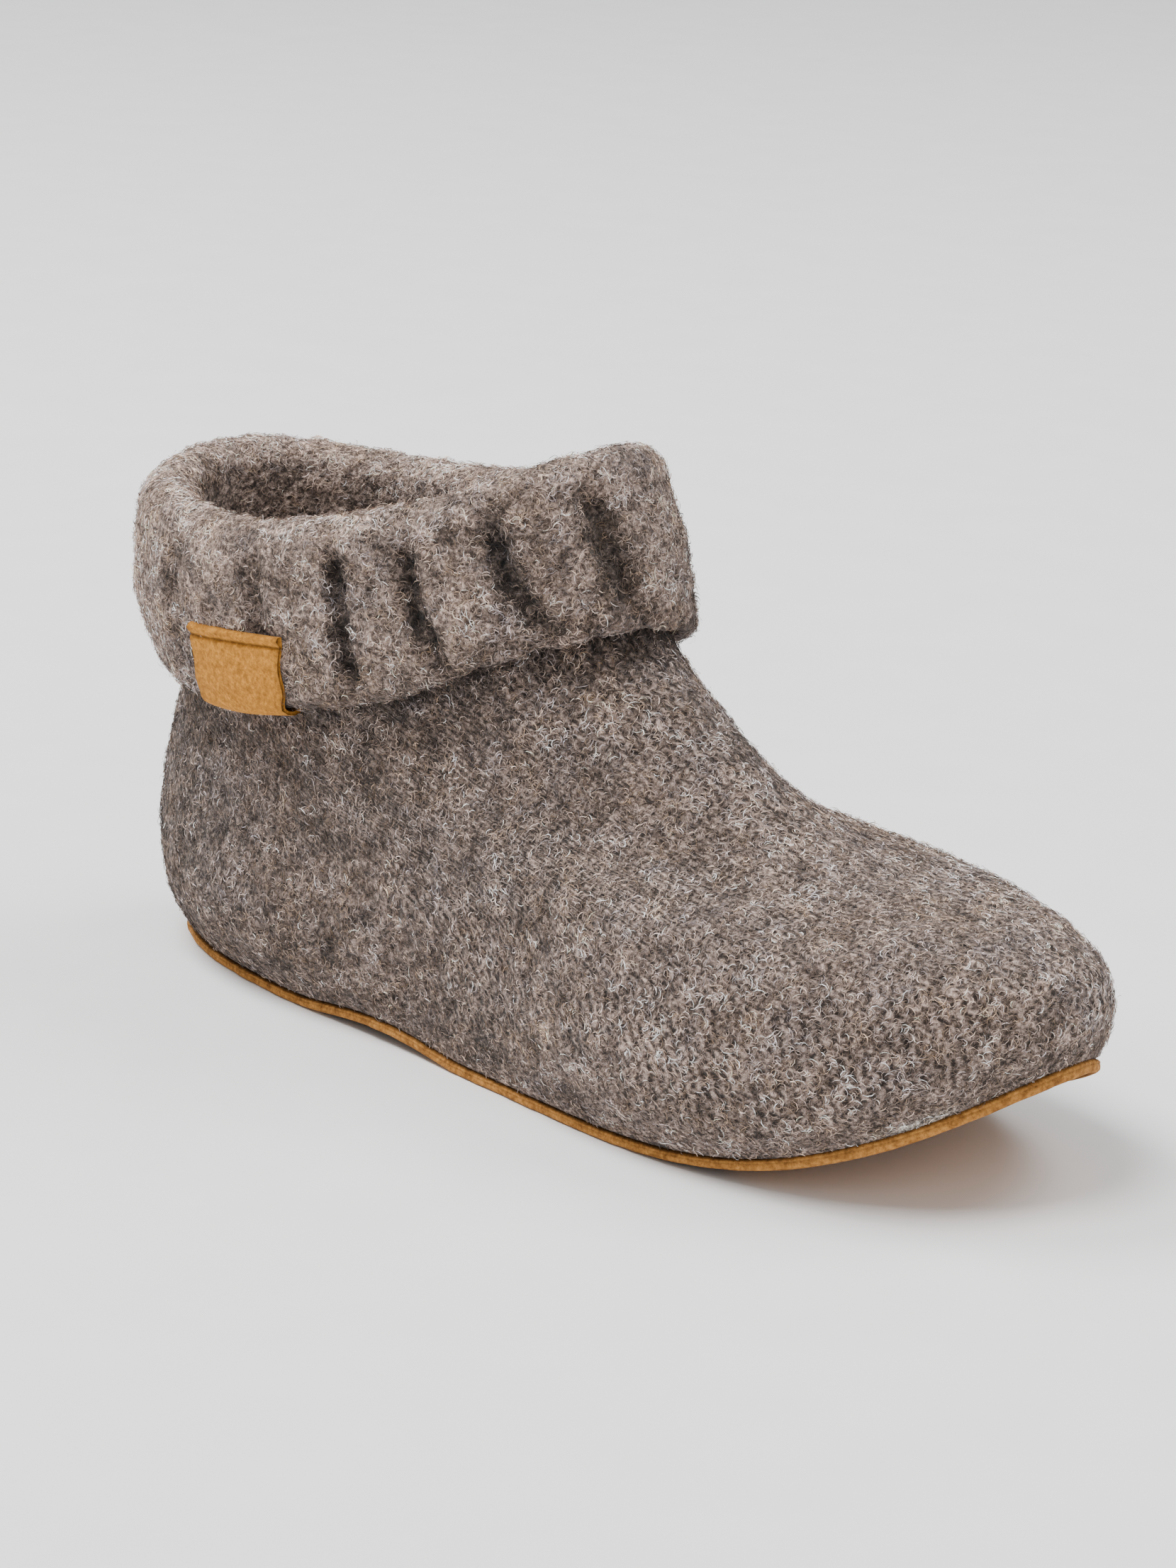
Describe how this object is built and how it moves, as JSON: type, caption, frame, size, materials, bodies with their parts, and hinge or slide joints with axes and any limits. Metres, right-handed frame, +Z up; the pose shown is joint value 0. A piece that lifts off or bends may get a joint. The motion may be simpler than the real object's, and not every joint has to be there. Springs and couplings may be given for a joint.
{
  "type": "knitted slipper",
  "caption": "Ankle-high boiled-wool slipper with a turned-down ribbed cuff, closed heel and thin suede sole.",
  "frame": {"origin": "on the floor under the middle of the heel's flat spot", "axes": "+X from heel to toe, +Y to the inner side of the foot, +Z up"},
  "size_m": [0.2699, 0.0963, 0.1395],
  "materials": {
    "suede": "tan suede, matt nap, cut edge",
    "footbed_felt": "dark grey-brown wool felt, matt",
    "felt": "boiled knitted wool, taupe melange, matt and fuzzy",
    "tab_suede": "thin tan suede strip, matt"
  },
  "bodies": {
    "root": {"outsole": "suede", "insole": "footbed_felt", "upper": "felt", "side_tab": "tab_suede"}
  },
  "joints": []
}
